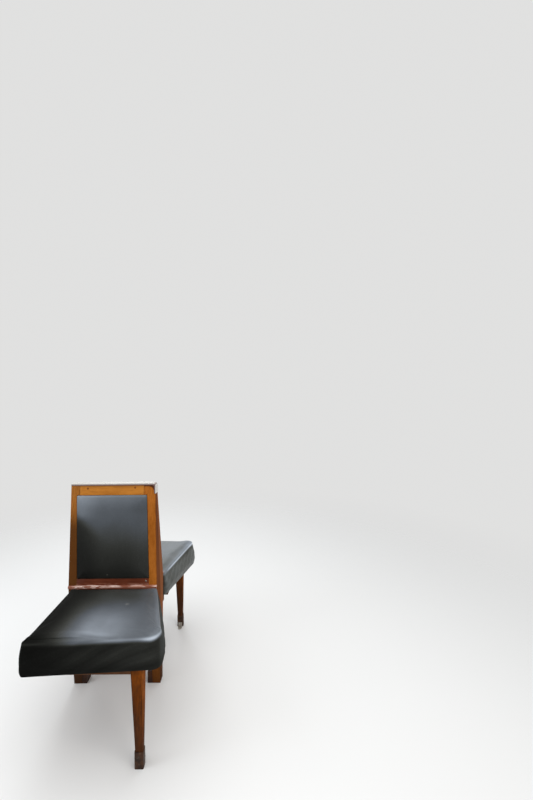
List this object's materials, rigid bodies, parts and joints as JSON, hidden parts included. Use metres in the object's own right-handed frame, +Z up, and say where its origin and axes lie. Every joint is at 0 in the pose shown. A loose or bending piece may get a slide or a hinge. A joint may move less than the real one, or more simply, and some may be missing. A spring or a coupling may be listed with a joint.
{
  "type": "two-way wooden tram seat",
  "caption": "Fixed back-to-back tram seat: a raked wooden double backrest with leather pads, a flared leather cushion on either side, tapered legs and wall ledgers.",
  "frame": {"origin": "on the floor, under the middle of the seat: the bounding box's bottom centre", "axes": "+X from the wall to the aisle, +Y along the vehicle, +Z up"},
  "size_m": [0.462, 0.862, 0.8627],
  "materials": {
    "varnished_wood": "worn gloss varnish",
    "dark_wood": "dark stain",
    "plain_wood": "bare plywood and battens",
    "leather": "dark green-grey, worn sheen",
    "cap_metal": "worn satin",
    "shoe_metal": "worn dark paint",
    "tab_metal": "dull"
  },
  "bodies": {
    "root": {"aisle_foot_block": "dark_wood", "capping": "cap_metal", "front_aisle_stile": "varnished_wood", "front_back_board": "plain_wood", "front_back_pad": "leather", "front_bead": "varnished_wood", "front_bearer": "varnished_wood", "front_bottom_rail": "varnished_wood", "front_cross_batten": "plain_wood", "front_cushion": "leather", "front_floor_tab": "tab_metal", "front_ledger": "dark_wood", "front_leg": "varnished_wood", "front_leg_shoe": "shoe_metal", "front_seat_board": "plain_wood", "front_side_batten": "plain_wood", "front_top_rail": "varnished_wood", "front_wall_stile": "varnished_wood", "rear_aisle_stile": "varnished_wood", "rear_back_board": "plain_wood", "rear_back_pad": "leather", "rear_bead": "varnished_wood", "rear_bearer": "varnished_wood", "rear_bottom_rail": "varnished_wood", "rear_cross_batten": "plain_wood", "rear_cushion": "leather", "rear_floor_tab": "tab_metal", "rear_ledger": "dark_wood", "rear_leg": "varnished_wood", "rear_leg_shoe": "shoe_metal", "rear_seat_board": "plain_wood", "rear_side_batten": "plain_wood", "rear_top_rail": "varnished_wood", "rear_wall_stile": "varnished_wood", "wall_foot_block": "dark_wood"}
  },
  "joints": []
}
